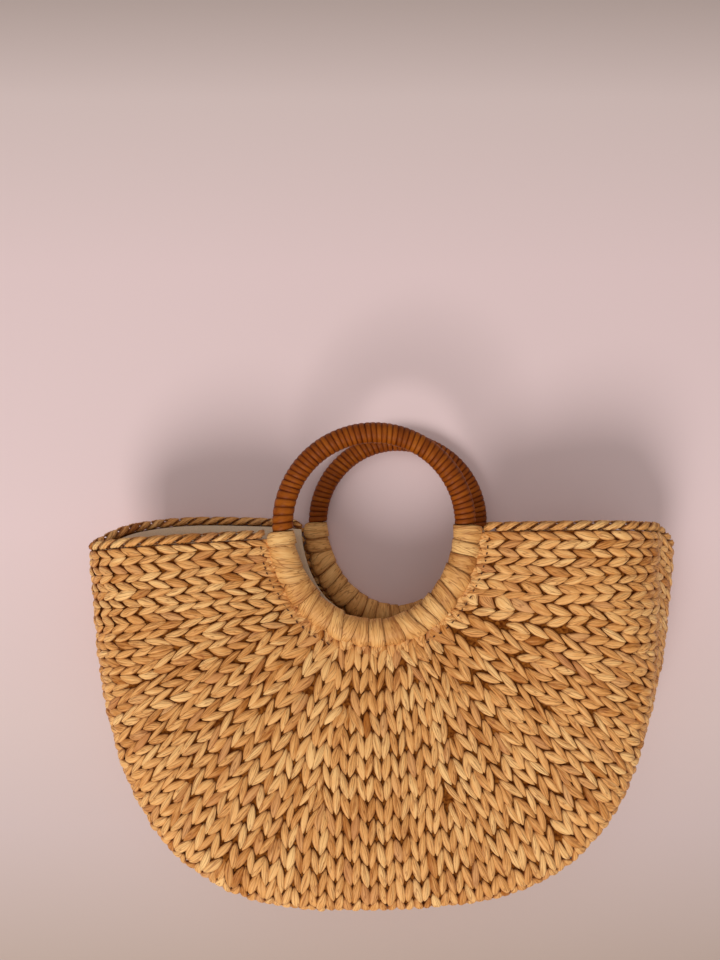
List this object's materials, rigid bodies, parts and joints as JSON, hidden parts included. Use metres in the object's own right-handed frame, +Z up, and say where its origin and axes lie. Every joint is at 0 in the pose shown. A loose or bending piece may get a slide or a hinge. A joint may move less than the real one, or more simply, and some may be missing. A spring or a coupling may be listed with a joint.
{
  "type": "straw basket bag",
  "caption": "Half-moon basket bag plaited from straw, with round wrapped ring handles and a cloth lining, lying on its back.",
  "frame": {"origin": "on the table, at the middle of the bag's box", "axes": "+X to the right across the front, +Y from the basket's bottom to the grips, +Z up out of the front as the bag lies on its back"},
  "size_m": [0.417, 0.3336, 0.104],
  "materials": {
    "plait": "dried water hyacinth in plaited strands, fibrous and slightly glossy",
    "straw_wrap": "broad flat straw strips, smooth and pale",
    "rattan_winding": "narrow stained strips wound tightly, satin",
    "lining_cloth": "thin plain-woven cotton, matt"
  },
  "bodies": {
    "root": {"basket_shell": "plait", "lining": "lining_cloth", "mouth_rope_left": "plait", "mouth_rope_right": "plait", "ring_wrap_front": "straw_wrap", "ring_wrap_back": "straw_wrap", "grip_front": "rattan_winding", "grip_back": "rattan_winding"}
  },
  "joints": []
}
